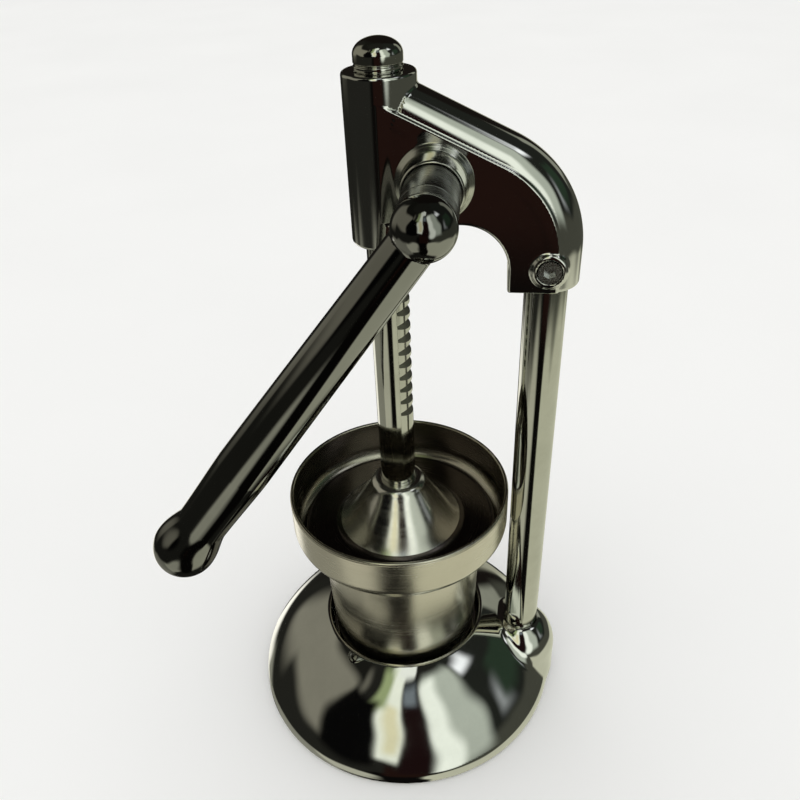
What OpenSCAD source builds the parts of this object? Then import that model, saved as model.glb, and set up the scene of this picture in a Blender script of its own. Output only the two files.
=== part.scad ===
/* [Base] */
// How far the round foot reaches past the column's axis
foot_margin = 19; // [16:0.5:30]
// Height of the upright band round the foot
band_h = 5; // [3:0.5:8]
// Height of the lip round the cup seat
lip_z = 47.5; // [44:0.5:60]
// Depth of the cup seat below its lip
seat_depth = 11; // [8:0.5:13]
// Radial gap between cup and seat
seat_gap = 2.5; // [1:0.5:4]
// Radius of the rounded lip
lip_round = 3; // [2:0.5:4]
// Rise of the dome above a straight slope
dome_bulge = 4.5; // [2:0.5:7]
// Wall of the cast base
base_wall = 4; // [3:0.5:5]
// Thickness of the rubber pad
pad_t = 3; // [2:0.5:4]
// How far the pad stands below the casting
pad_proud = 1; // [0.5:0.5:2]

/* [Column] */
// Gap between the bowl and the column
bowl_gap = 1.65; // [1:0.05:6]
// Outer diameter of the column
column_d = 19.5; // [16:0.5:22]
// Wall of the column tube
column_wall = 1.5; // [1:0.5:2.5]
// Diameter of the bolt that holds the column down
bolt_d = 8; // [6:1:8]
// Wall of the boss round the column, at its top
boss_wall = 3.75; // [3:0.25:6]
// How far the boss widens towards its foot
boss_flare = 8; // [5:0.5:12]
// Height of the boss above the table
boss_top_z = 43; // [40:0.5:50]
// Height of the ledge under the column
ledge_z = 14; // [13.5:0.5:18]

/* [Head] */
// Height of the underside of the rod guide
guide_z = 287; // [240:1:345]
// Length of the rod guide
guide_l = 70.2; // [64:0.1:80]
// How far the rod guide stands out past the ridge
guide_step = 0.9; // [0.5:0.1:4]
// Wall of the rounded ridge round the column
ridge_wall = 4.45; // [3:0.05:6]
// Slope of the ridge in degrees
ridge_slope = 26; // [20:1:32]
// Drop of the ridge's centre line below the top of the guide
ridge_drop = 13.7; // [8:0.1:16]
// Radius of the ridge's bend
ridge_bend = 39.3; // [32:0.1:48]
// How far the web stands out past the ridge
web_step = 0.55; // [0.3:0.05:1]
// Height of the web's lower edge above the underside of the guide
web_lift = 12; // [8:0.5:15]
// Radius of the hollow under the web
arch_r = 20; // [14:1:24]
// How far the clamp reaches from the column's axis towards the rod
clamp_reach = 17.5; // [16:0.5:21]
// Length of the clamp below the bend
clamp_l = 15.8; // [13:0.1:19]
// Wall of the bend over the column's top
clamp_wall = 2; // [1.5:0.1:3]
// Diameter of the clamp screw
clamp_screw_d = 6; // [5:1:8]

/* [Rack and pinion] */
// Gear module
gear_m = 2.25; // [1.85:0.05:2.7]
// Teeth of the pinion
gear_teeth = 14; // [13:1:15]
// Face width of the pinion
gear_w = 15; // [10:1:16]
// Play between the flanks
backlash = 0.3; // [0.2:0.05:0.5]
// Height of the lever shaft above the underside of the guide
shaft_rise = 30; // [28:0.5:34]
// Diameter of the lever shaft
shaft_d = 16; // [12:0.5:17]
// Teeth of the rack
rack_teeth = 21; // [18:1:22]

/* [Rod and presser] */
// Diameter of the rod
rod_d = 18.5; // [16:0.5:20]
// How far the domed cap stands out past the rod
cap_lip = 0.7; // [0.3:0.1:2]
// Height of the cap's straight part
cap_h = 5.5; // [4:0.5:9]
// Height of the cap's dome
cap_dome = 6.3; // [5:0.1:10]
// Gap between the pressing plate and the bowl's wall
plate_gap = 6.4; // [3:0.1:10]
// Diameter of the bell where it meets the plate
bell_d = 63; // [54:1:70]
// How far the bell's shoulder stands out past the rod
shoulder_w = 6.75; // [4:0.25:10]
// Height of the bell above the plate
bell_h = 29.5; // [24:0.5:34]
// Thickness of the presser's sheet
presser_t = 1.5; // [1:0.25:2]
// Gap between presser and strainer when the press is shut
press_gap = 2; // [1:0.25:4]

/* [Lever] */
// Distance from the press axis to the lever's plane
lever_x = 61.3; // [52:0.1:70]
// Angle of the shut lever below the horizontal
lever_angle = 53.9; // [48:0.1:60]
// Length from the shaft to the end of the lever
lever_l = 221; // [180:0.5:250]
// Diameter of the satin spacer and the lever's hub
hub_d = 23.3; // [21:0.1:24]
// Diameter of the ball end
ball_d = 24.6; // [24:0.1:30]
// Diameter of the lever next to the ball
lever_root_d = 18.4; // [16:0.1:21]
// Diameter of the lever where it is widest before its neck
lever_wide_d = 25.4; // [22:0.1:28]
// Diameter of the lever at its neck
lever_neck_d = 24.4; // [20:0.1:27]
// Diameter of the swollen end
lever_end_d = 31.2; // [26:0.1:34]
// Length of the lever's hub, from the satin spacer to the lever's plane
hub_l = 11.85; // [10:0.05:15]

/* [Bushes] */
// Diameter of a bush at its foot on the web
bush_foot_d = 32.4; // [30:0.1:34]
// How far a bush stands out past the lever's hub, at its outer end
bush_lip = 1.25; // [0.75:0.25:2.5]
// Length of the bush on the lever's side
near_bush_l = 12; // [3:0.5:16]
// Length of the bush on the far side
far_bush_l = 4; // [3:0.5:10]
// Wall of the bush round the shaft
bush_wall = 3; // [2:0.25:4]

/* [Bowl and cup] */
// How far the bowl's wall stands out past the cup's
bowl_overhang = 14.6; // [13:0.1:20]
// Height of the bowl's upright band
bowl_band = 18; // [14:0.5:30]
// Outer radius of the bowl's lower corner
bowl_corner = 9.2; // [6:0.2:12]
// Sheet of bowl and cup
sheet_t = 1.2; // [1:0.1:1.5]
// Height of the juice cup
cup_h = 72.6; // [60:0.1:90]
// Outer diameter of the cup under its rim
cup_top_d = 90; // [75:0.5:108]
// How much the cup's radius shrinks towards its base
cup_taper = 2.5; // [0:0.25:6]
// Radius of the cup's rolled rim
bead_r = 2.2; // [1.5:0.1:2.5]
// Depth of the strainer below the cup's rim
strainer_depth = 7; // [5:0.5:12]
// Diameter of the drain holes
drain_d = 2.6; // [2:0.1:3.2]
// Drain holes in the outer ring
drain_count = 28; // [16:1:32]
// Diameter of the reamer at its foot
reamer_d = 54; // [44:1:58]
// Height of the reamer
reamer_h = 34; // [26:1:36]
// Ribs on the reamer
rib_count = 10; // [6:1:12]

/* [Hidden] */
$fn = 96;

// Clearances
rest_gap = 0.3;      // between pieces of different bodies that only rest on each other
run_fit = 0.06;      // radial clearance of a running fit
seat_fit = 0.05;     // radial clearance of a fixed fit
eps = 0.1;           // how far a cutter passes the face that it cuts

// Plan, laid out from the cup's rim: bowl, column, foot
cup_top_r = cup_top_d / 2;
cup_base_r = cup_top_r - cup_taper;
bowl_r = cup_top_r + bowl_overhang;
column_r = column_d / 2;
column_y = bowl_r + bowl_gap + column_r;
base_r = column_y + foot_margin;

// Base
seat_r = cup_base_r + seat_gap;
seat_z = lip_z - seat_depth;
band_z = pad_proud + band_h;
ledge_t = 6;
column_foot_z = ledge_z + ledge_t;
boss_top_r = column_r + boss_wall;
boss_foot_r = boss_top_r + boss_flare;
boss_shoulder_z = boss_top_z / 2;
boss_round = 2.5;

// Column and its fastening
column_bore_r = column_r - column_wall;
plug_l = 20;
washer_t = 1.6;
lock_washer_t = 2;
washer_d = 2.1 * bolt_d;
bolt_head_h = 0.65 * bolt_d;
bolt_head_d = 1.8 * bolt_d;
bolt_grip = ledge_t + plug_l - 4;

// Head
rod_r = rod_d / 2;
ridge_r = column_r + ridge_wall;
guide_r = ridge_r + guide_step;
guide_top_z = guide_z + guide_l;
ridge_z = guide_top_z - ridge_drop;
crease = 4;          // how far the web reaches above the ridge's centre line
bend_y = column_y - ridge_bend;
bend_z = ridge_z - bend_y * tan(ridge_slope) - ridge_bend / cos(ridge_slope);
ridge_run = (bend_y + ridge_bend * sin(ridge_slope)) / cos(ridge_slope);
ridge_start = guide_r / 2;  // keeps the ridge's end below the top of the guide
chamber_w = gear_w + 1.4;
web_t = 2 * (ridge_r + web_step);
web_z = guide_z + web_lift;
arch_y = column_y - clamp_reach - arch_r;
clamp_z = bend_z - clamp_l;
// the column ends where the bend still leaves its wall over it
column_top_z = bend_z + sqrt(pow(ridge_bend + ridge_r - clamp_wall, 2) - pow(ridge_bend + column_r, 2));
clamp_screw_z = clamp_z + clamp_l / 2 + 2.8;
clamp_head_r = 0.83 * clamp_screw_d;
clamp_head_h = 0.6 * clamp_screw_d;
clamp_boss_r = clamp_head_r + 2.7;
clamp_face_x = web_t / 2 + 1.6;

// Rack and pinion
pitch = PI * gear_m;
pitch_r = gear_m * gear_teeth / 2;
tip_r = pitch_r + gear_m;
root_r = pitch_r - 1.25 * gear_m;
pressure_angle = 20;
rack_tip_y = rod_r - 0.1;
rack_pitch_y = rack_tip_y - gear_m;
rack_root_y = rack_tip_y - 2.25 * gear_m;
shaft_y = rack_pitch_y + pitch_r;
shaft_z = guide_z + shaft_rise;
shaft_r = shaft_d / 2;
chamber_r = tip_r + 1;
rack_top_teeth = 3;  // rack gaps above the shaft's height
key_w = 5;
key_depth = 2.5;     // of the key in the shaft, and again in the pinion
key_l = gear_w - 2;

// Cup, strainer and presser, stacked from the seat
cup_z = seat_z + rest_gap;
cup_top_z = cup_z + cup_h;
shelf_z = cup_top_z + rest_gap;
bowl_shelf_r = cup_top_r + 2 * bead_r - 0.8;
bowl_rise = 6;       // of the sloping wall between shelf and corner
bowl_floor_z = shelf_z + bowl_rise;
corner_z = bowl_floor_z + bowl_corner;
bowl_rim_z = corner_z + bowl_band;
corner_r = bowl_r - bowl_corner;
strainer_r = cup_top_r - sheet_t - 1.6;
strainer_z = cup_top_z - strainer_depth;
plate_r = bowl_r - sheet_t - plate_gap;
plate_bead_r = 1.1;
plate_z = bowl_floor_z + sheet_t + press_gap;
bell_top_z = plate_z + presser_t + bell_h;
collar_t = 1.6;
rod_foot_z = bell_top_z + collar_t;
presser_screw_d = 8;
presser_washer_d = 20;
spigot_d = 12;
spigot_l = 9;
cap_r = rod_r + cap_lip;
cap_z = guide_top_z + rest_gap;

// Lever and its bushes
sleeve_d = shaft_d + 2 * bush_wall;
ball_r = ball_d / 2;
hub_r = hub_d / 2;
spacer_x = web_t / 2 + near_bush_l + rest_gap;
handle_x = lever_x - hub_l;
grub_d = 5;
grub_l = 4;
far_washer_x = -(web_t / 2 + far_bush_l + rest_gap);
far_washer_t = 1.5;
clip_t = 1.2;
clip_x = far_washer_x - far_washer_t;
shaft_end_x = clip_x - clip_t - 2;

// Points of an arc from a to b. Its middle stands off the straight way by rise, to the left of it,
// or to the right where rise is negative
function bulge(a, b, rise, n) =
    let (chord = norm(b - a), r = (chord * chord / 4 + rise * rise) / (2 * abs(rise)))
    let (mid = (a + b) / 2, left = [a[1] - b[1], b[0] - a[0]] / chord)
    let (centre = mid - left * sign(rise) * (r - abs(rise)), sweep = 2 * sign(rise) * asin(chord / 2 / r))
    let (start = atan2(a[1] - centre[1], a[0] - centre[0]))
    [for (i = [0:n]) centre + r * [cos(start - sweep * i / n), sin(start - sweep * i / n)]];

// Points of a circular corner
function corner(centre, r, from, to, n) =
    [for (i = [0:n]) let (a = from + (to - from) * i / n) centre + r * [cos(a), sin(a)]];

// Turns a piece modelled along +Z so that it lies along +X on the lever shaft's axis
module on_shaft(x) {
    translate([x, shaft_y, shaft_z]) rotate([0, 90, 0]) children();
}

// Cylinder with both ends open past its faces, for a cutter
module through(r, z0, z1) {
    translate([0, 0, z0 - eps]) cylinder(r = r, h = z1 - z0 + 2 * eps);
}

module ring(outer, inner, z, h) {
    translate([0, 0, z])
        difference() {
            cylinder(r = outer, h = h);
            through(inner, 0, h);
        }
}

// Hexagonal recess, open upwards
module hex_socket(across_flats, depth) {
    cylinder(d = across_flats / cos(30), h = depth, $fn = 6);
}

// Outline of the dome from the lip to the foot, moved inwards by inset
function dome_line(inset) =
    bulge([seat_r + lip_round + inset * 0.4, lip_z - inset], [base_r - inset, band_z], dome_bulge, 16);

module base_dome() {
    rotate_extrude()
        difference() {
            polygon(concat(
                [[0, seat_z], [seat_r, seat_z]],
                corner([seat_r + lip_round, lip_z - lip_round], lip_round, 180, 90, 8),
                dome_line(0),
                [[base_r, pad_proud], [0, pad_proud]]));
            polygon(concat(
                [[0, seat_z - base_wall], [seat_r + lip_round, seat_z - base_wall]],
                dome_line(base_wall),
                [[base_r - base_wall, pad_proud - eps], [0, pad_proud - eps]]));
        }
}

module column_boss() {
    translate([0, column_y, 0])
        rotate_extrude()
            polygon(concat(
                [[0, pad_proud], [0, boss_top_z]],
                corner([boss_top_r - boss_round, boss_top_z - boss_round], boss_round, 90, 20, 6),
                bulge([boss_top_r, boss_top_z - boss_round - 1], [boss_foot_r, boss_shoulder_z], 2, 8),
                [[boss_foot_r, pad_proud]]));
}

module base_shell() {
    color("silver")
        difference() {
            union() {
                base_dome();
                column_boss();
            }
            translate([0, column_y, 0]) {
                through(column_r + seat_fit, column_foot_z + eps, max(boss_top_z, lip_z));
                through(bolt_d / 2 + 0.3, ledge_z, column_foot_z);
            }
            // room for the bolt's head, inside the band
            intersection() {
                translate([0, column_y, 0]) through(boss_foot_r - base_wall, pad_proud, ledge_z - eps);
                through(base_r - base_wall, pad_proud, ledge_z);
            }
            // clears the cup seat where the boss would reach into it
            through(seat_r, seat_z + eps, lip_z);
            // the pad's own recess
            through(base_r - base_wall, pad_proud, pad_t - eps);
        }
}

module base_pad() {
    color("dimgray") cylinder(r = base_r - base_wall, h = pad_t);
}

module column_tube() {
    color("silver")
        difference() {
            translate([0, column_y, 0])
                ring(column_r, column_bore_r, column_foot_z, column_top_z - column_foot_z);
            translate([0, column_y, clamp_screw_z])
                rotate([0, 90, 0])
                    cylinder(d = clamp_screw_d + 0.2, h = column_d);
        }
}

module column_plug() {
    color("gray") translate([0, column_y, 0]) ring(column_bore_r, bolt_d / 2, column_foot_z, plug_l);
}

module column_washer() {
    color("gainsboro")
        translate([0, column_y, 0]) ring(washer_d / 2, bolt_d / 2 + 0.2, ledge_z - washer_t, washer_t);
}

module column_lock_washer() {
    color("gainsboro")
        translate([0, column_y, 0])
            ring(washer_d / 2 - 1.5, bolt_d / 2 + 0.2, ledge_z - washer_t - lock_washer_t, lock_washer_t);
}

module column_bolt() {
    under_head_z = ledge_z - washer_t - lock_washer_t;
    color("gray")
        translate([0, column_y, under_head_z]) {
            translate([0, 0, -bolt_head_h]) cylinder(d = bolt_head_d, h = bolt_head_h, $fn = 6);
            cylinder(d = bolt_d, h = bolt_grip + washer_t + lock_washer_t);
        }
}

// The round bar that runs from the rod guide over the top and down round the column
module ridge_bar() {
    translate([0, 0, ridge_z])
        rotate([-90 - ridge_slope, 0, 0])
            translate([0, 0, ridge_start])
                cylinder(r = ridge_r, h = ridge_run - ridge_start);
    translate([0, bend_y, bend_z])
        rotate([90, 0, 90])
            rotate_extrude(angle = 90 - ridge_slope)
                translate([ridge_bend, 0]) circle(r = ridge_r);
    translate([0, column_y, clamp_z]) cylinder(r = ridge_r, h = bend_z - clamp_z);
}

// Outline of the web in the plane of the rod and the column
module web_outline() {
    bend_outer = ridge_bend + crease;
    polygon(concat(
        [[0, web_z], [arch_y, web_z]],
        corner([arch_y, web_z - arch_r], arch_r, 90, 0, 16),
        [[arch_y + arch_r, clamp_z], [column_y, clamp_z]],
        corner([bend_y, bend_z], bend_outer, 0, 90 - ridge_slope, 16),
        [[0, ridge_z + crease / cos(ridge_slope)]]));
}

// Turns a piece modelled along +Z so that it lies along +X on the clamp screw's axis
module clamp_screw_place(x) {
    translate([x, column_y, clamp_screw_z]) rotate([0, 90, 0]) children();
}

module head_casting() {
    bevel = 1.2;
    mouth_y = rod_r - 2;
    color("silver")
        difference() {
            union() {
                translate([0, 0, guide_z]) cylinder(r = guide_r, h = guide_l - bevel);
                translate([0, 0, guide_top_z - bevel])
                    cylinder(r1 = guide_r, r2 = guide_r - bevel, h = bevel);
                ridge_bar();
                rotate([90, 0, 90]) linear_extrude(web_t, center = true) web_outline();
                clamp_screw_place(0) cylinder(r = clamp_boss_r, h = clamp_face_x);
            }
            through(rod_r + run_fit, guide_z, guide_top_z);
            // chamber of the pinion, open below so that the pinion can be put in
            on_shaft(-chamber_w / 2) cylinder(r = chamber_r, h = chamber_w);
            translate([-chamber_w / 2, mouth_y, web_z - eps])
                cube([chamber_w, shaft_y + chamber_r - mouth_y, shaft_z - web_z]);
            translate([-chamber_w / 2, arch_y, web_z - arch_r / 2])
                cube([chamber_w, shaft_y + chamber_r - arch_y, arch_r]);
            on_shaft(-web_t) cylinder(d = sleeve_d + 2 * seat_fit, h = 2 * web_t);
            translate([0, column_y, 0]) through(column_r + seat_fit, clamp_z, column_top_z - eps);
            clamp_screw_place(0) cylinder(d = clamp_screw_d, h = web_t);
            clamp_screw_place(clamp_face_x - clamp_head_h) cylinder(r = clamp_head_r + 0.3, h = web_t);
        }
}

module clamp_screw() {
    shank_x = column_bore_r - 1;
    head_x = clamp_face_x - clamp_head_h;
    color("gray")
        difference() {
            union() {
                clamp_screw_place(shank_x) cylinder(d = clamp_screw_d, h = head_x - shank_x);
                clamp_screw_place(head_x) cylinder(r = clamp_head_r, h = clamp_head_h);
            }
            clamp_screw_place(clamp_face_x - 0.7 * clamp_head_h)
                hex_socket(0.83 * clamp_screw_d, clamp_head_h);
        }
}

// Bush whose sleeve reaches down to the chamber and whose outer end narrows to a flat ring
module bush(length) {
    sleeve_l = (web_t - chamber_w) / 2;
    end_r = hub_r + bush_lip;
    foot_h = 1;
    dish = 0.8;
    difference() {
        union() {
            translate([0, 0, -sleeve_l]) cylinder(d = sleeve_d, h = sleeve_l);
            cylinder(d = bush_foot_d, h = foot_h);
            translate([0, 0, foot_h])
                cylinder(r1 = bush_foot_d / 2 - foot_h, r2 = end_r, h = length - foot_h);
        }
        through(shaft_r + run_fit, -sleeve_l, length);
        translate([0, 0, length - dish]) cylinder(r = hub_r + rest_gap, h = dish + eps);
    }
}

module near_bush() {
    color("silver") on_shaft(web_t / 2) bush(near_bush_l);
}

module far_bush() {
    color("silver") on_shaft(-web_t / 2) mirror([0, 0, 1]) bush(far_bush_l);
}

// One gap of the rack: its flanks lean out by the pressure angle
module rack_gap() {
    half = pitch / 4 + backlash / 4;
    lean = tan(pressure_angle);
    root_half = half - 1.25 * gear_m * lean;
    reach = gear_m + 1;
    tip_half = half + reach * lean;
    rotate([90, 0, 90])
        linear_extrude(rod_d + 2, center = true)
            polygon([[rack_root_y, -root_half], [rack_pitch_y + reach, -tip_half],
                [rack_pitch_y + reach, tip_half], [rack_root_y, root_half]]);
}

module rack_rod() {
    thread_l = 16;
    color("silver")
        difference() {
            union() {
                translate([0, 0, rod_foot_z]) cylinder(r = rod_r, h = cap_z - rod_foot_z);
                translate([0, 0, cap_z]) cylinder(d = spigot_d, h = spigot_l);
            }
            for (i = [0:rack_teeth - 1])
                translate([0, 0, shaft_z + (rack_top_teeth - i) * pitch]) rack_gap();
            through(presser_screw_d / 2, rod_foot_z, rod_foot_z + thread_l);
        }
}

module rod_cap() {
    groove = 0.5;
    color("silver")
        difference() {
            translate([0, 0, cap_z])
                rotate_extrude()
                    polygon(concat(
                        [[0, 0], [cap_r, 0], [cap_r, 1.6], [cap_r - groove, 1.9], [cap_r - groove, 2.3],
                            [cap_r, 2.6]],
                        [for (i = [0:20]) [cap_r * cos(4.5 * i), cap_h + cap_dome * sin(4.5 * i)]]));
            through(spigot_d / 2, cap_z, cap_z + spigot_l - eps);
        }
}

module rod_collar() {
    color("silver") ring(rod_r + 0.4, presser_screw_d / 2, bell_top_z, collar_t);
}

// Outline of the bell's upper face, from its crown to the edge of the plate, moved down by sheet
function bell_line(sheet) =
    let (shoulder_r = rod_r + shoulder_w, foot_r = bell_d / 2, neck_r = rod_r + 1)
    let (shoulder_h = 0.82 * bell_h, flank_h = 0.76 * bell_h)
    concat(
        [[0, bell_h - sheet], [neck_r - sheet / 2, bell_h - sheet]],
        bulge([neck_r - sheet / 2 + 0.5, bell_h - sheet], [shoulder_r - sheet, shoulder_h - sheet], 1, 8),
        bulge([shoulder_r + 0.8 - sheet, flank_h - sheet], [foot_r - sheet, 1 - sheet], -1.2, 12),
        [[foot_r + 3, -sheet], [plate_r, -sheet]]);

module presser_bell() {
    outer = bell_line(0);
    inner = bell_line(presser_t);
    color("lightgray")
        translate([0, 0, plate_z + presser_t])
            difference() {
                union() {
                    rotate_extrude()
                        polygon(concat(outer, [for (i = [len(inner) - 1:-1:0]) inner[i]]));
                    // rolled edge
                    translate([0, 0, -presser_t / 2])
                        rotate_extrude() translate([plate_r, 0]) circle(r = plate_bead_r, $fn = 24);
                }
                through(presser_screw_d / 2, 0, bell_h);
            }
}

module presser_washer() {
    color("gainsboro")
        ring(presser_washer_d / 2 - 2, presser_screw_d / 2, bell_top_z - presser_t - washer_t, washer_t);
}

module presser_screw() {
    head_h = 4;
    under_head_z = bell_top_z - presser_t - washer_t;
    color("gray")
        difference() {
            union() {
                translate([0, 0, under_head_z - head_h]) cylinder(d = 13, h = head_h);
                translate([0, 0, under_head_z]) cylinder(d = presser_screw_d, h = 18);
            }
            translate([0, 0, under_head_z - head_h - eps]) hex_socket(5, 2.5 + eps);
        }
}

// Involute of the base circle at the unrolled angle t
function involute(base, t) = base * [cos(t) + t * PI / 180 * sin(t), sin(t) - t * PI / 180 * cos(t)];

// The point p turned about the origin
function turned(p, a) = [p[0] * cos(a) - p[1] * sin(a), p[0] * sin(a) + p[1] * cos(a)];

// One flank of a tooth from its root to its tip, turned back by half the tooth
function flank(steps) =
    let (base = pitch_r * cos(pressure_angle))
    let (t_pitch = tan(pressure_angle) * 180 / PI, t_tip = sqrt(pow(tip_r / base, 2) - 1) * 180 / PI)
    let (half = (pitch / 2 - backlash / 2) / pitch_r * 90 / PI + t_pitch - pressure_angle)
    concat(
        [turned([root_r, 0], -half)],
        [for (i = [0:steps]) turned(involute(base, t_tip * i / steps), -half)]);

module pinion_profile() {
    side = flank(5);
    tooth = concat(side, [for (i = [len(side) - 1:-1:0]) [side[i][0], -side[i][1]]]);
    polygon([for (i = [0:gear_teeth - 1]) for (p = tooth) turned(p, 360 / gear_teeth * i)]);
}

module key_slot() {
    translate([-key_w / 2, shaft_r - key_depth, 0]) cube([key_w, 2 * key_depth, key_l]);
}

module pinion_gear() {
    // one tooth points at the rack, where the rack has a gap
    color("gray")
        on_shaft(-gear_w / 2)
            difference() {
                rotate(-90) linear_extrude(gear_w) pinion_profile();
                through(shaft_r, 0, gear_w);
                translate([0, 0, (gear_w - key_l) / 2]) key_slot();
            }
}

module gear_key() {
    color("gray") on_shaft(-key_l / 2) key_slot();
}

module lever_shaft() {
    groove_d = shaft_d - 2;
    shaft_tip_x = lever_x - 4;
    color("gray")
        difference() {
            on_shaft(shaft_end_x) cylinder(r = shaft_r, h = shaft_tip_x - shaft_end_x);
            on_shaft(-key_l / 2) key_slot();
            on_shaft(clip_x - clip_t) ring(shaft_r + 1, groove_d / 2, 0, clip_t);
        }
}

module hub_spacer() {
    color("darkgray") on_shaft(spacer_x) ring(hub_r, shaft_r, 0, handle_x - spacer_x);
}

// Turns a piece modelled along +Z into the lever's own direction
module along_lever() {
    translate([lever_x, shaft_y, shaft_z]) rotate([90 + lever_angle, 0, 0]) children();
}

// Share of the way from 0 to 1 with an easy start and end
function ease(t) = t * t * (3 - 2 * t);

module lever_bar() {
    wide_l = 0.64 * lever_l;
    neck_l = 0.83 * lever_l;
    swell_l = 0.93 * lever_l;
    end_r = lever_end_d / 2;
    neck_r = lever_neck_d / 2;
    wide_r = lever_wide_d / 2;
    rotate_extrude()
        polygon(concat(
            [[0, 0], [lever_root_d / 2, 0]],
            [for (t = [0:0.1:1]) [wide_r + (neck_r - wide_r) * ease(t), wide_l + (neck_l - wide_l) * t]],
            [for (t = [0.1:0.1:1]) [neck_r + (end_r - neck_r) * ease(t), neck_l + (swell_l - neck_l) * t]],
            [for (a = [6:6:90]) [end_r * cos(a), swell_l + (lever_l - swell_l) * sin(a)]]));
}

module grub_place(depth) {
    translate([handle_x + 5, shaft_y, shaft_z])
        rotate([lever_angle, 0, 0]) rotate([180, 0, 0]) translate([0, 0, depth]) children();
}

module lever_handle() {
    color("silver")
        difference() {
            union() {
                difference() {
                    translate([lever_x, shaft_y, shaft_z]) sphere(r = ball_r);
                    // the ball ends at the hub's face
                    on_shaft(handle_x - ball_r) cylinder(r = ball_r, h = ball_r);
                }
                on_shaft(handle_x) cylinder(r = hub_r, h = lever_x - handle_x);
                along_lever() lever_bar();
            }
            on_shaft(handle_x - eps) cylinder(r = shaft_r, h = lever_x - 4 - handle_x + eps);
            grub_place(shaft_r - 1) cylinder(d = grub_d, h = ball_r);
        }
}

module hub_grub_screw() {
    color("gray")
        difference() {
            grub_place(shaft_r) cylinder(d = grub_d, h = min(grub_l, hub_r - shaft_r - 0.2));
            grub_place(shaft_r + 1.2) hex_socket(2.5, grub_l);
        }
}

module shaft_washer() {
    color("gainsboro")
        on_shaft(far_washer_x - far_washer_t) ring(shaft_r + 3.5, shaft_r + 0.1, 0, far_washer_t);
}

module shaft_clip() {
    // open ring in the shaft's groove
    color("dimgray")
        on_shaft(clip_x - clip_t)
            difference() {
                ring(shaft_r + 2.2, shaft_r - 1, 0, clip_t);
                translate([0, -2, -eps]) cube([shaft_r + 4, 4, clip_t + 2 * eps]);
            }
}

// Outline of the bowl's outer face, moved inwards by sheet, from the rim to the strainer's floor
function bowl_line(sheet) = concat(
    [[bowl_r - sheet, bowl_rim_z]],
    corner([corner_r, corner_z], bowl_corner - sheet, 0, -90, 12),
    [[bowl_shelf_r, shelf_z + sheet], [strainer_r - sheet, shelf_z + sheet],
        [strainer_r - sheet, strainer_z + sheet], [0, strainer_z + sheet]]);

module reamer() {
    top_r = 4;
    foot_r = reamer_d / 2;
    rib_t = 2.4;
    rib_out = 2.5;
    floor_z = strainer_z + sheet_t;
    body_top = reamer_h - rib_out;
    translate([0, 0, floor_z]) {
        rotate_extrude()
            polygon(concat(
                [[0, -sheet_t / 2], [foot_r - rib_out, -sheet_t / 2]],
                bulge([foot_r - rib_out, 0], [top_r, body_top], -1.5, 10),
                [[0, body_top + 1]]));
        for (i = [0:rib_count - 1])
            rotate([90, 0, 360 / rib_count * i])
                linear_extrude(rib_t, center = true)
                    polygon(concat(
                        [[0, -sheet_t / 2]],
                        bulge([foot_r, -sheet_t / 2], [top_r, reamer_h - 1], -2.5, 8),
                        [[0, reamer_h]]));
    }
}

module strainer_bowl() {
    rim_r = 1;
    inner = bowl_line(sheet_t);
    ring_r = (reamer_d / 2 + strainer_r - sheet_t) / 2;
    ring_gap = drain_d * 0.85;
    color("lightgray")
        union() {
            difference() {
                rotate_extrude()
                    polygon(concat(bowl_line(0), [for (i = [len(inner) - 1:-1:0]) inner[i]]));
                for (row = [-1, 1], i = [0:drain_count - 1])
                    rotate(360 / drain_count * (i + row / 4))
                        translate([ring_r + row * ring_gap, 0, 0])
                            through(drain_d / 2, strainer_z, strainer_z + sheet_t);
            }
            translate([0, 0, bowl_rim_z])
                rotate_extrude() translate([bowl_r - rim_r, 0]) circle(r = rim_r, $fn = 32);
            reamer();
        }
}

// Outline of the cup's outer face, moved inwards by sheet, from its rim to the middle of its base
function cup_line(sheet) =
    let (base_round = 5)
    concat(
        [[cup_top_r - sheet, cup_h - bead_r]],
        corner([cup_base_r - base_round, base_round], base_round - sheet, 0, -90, 8),
        [[0, sheet]]);

module juice_cup() {
    inner = cup_line(sheet_t);
    color("lightgray")
        translate([0, 0, cup_z])
            union() {
                rotate_extrude()
                    polygon(concat(cup_line(0), [for (i = [len(inner) - 1:-1:0]) inner[i]]));
                rotate_extrude()
                    translate([cup_top_r, cup_h - bead_r]) circle(r = bead_r, $fn = 32);
            }
}

base_shell();
base_pad();
column_tube();
column_plug();
column_bolt();
column_washer();
column_lock_washer();
head_casting();
clamp_screw();
near_bush();
far_bush();
rack_rod();
rod_cap();
rod_collar();
presser_bell();
presser_washer();
presser_screw();
pinion_gear();
gear_key();
lever_shaft();
hub_spacer();
lever_handle();
hub_grub_screw();
shaft_washer();
shaft_clip();
strainer_bowl();
juice_cup();
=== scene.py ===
import math

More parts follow.
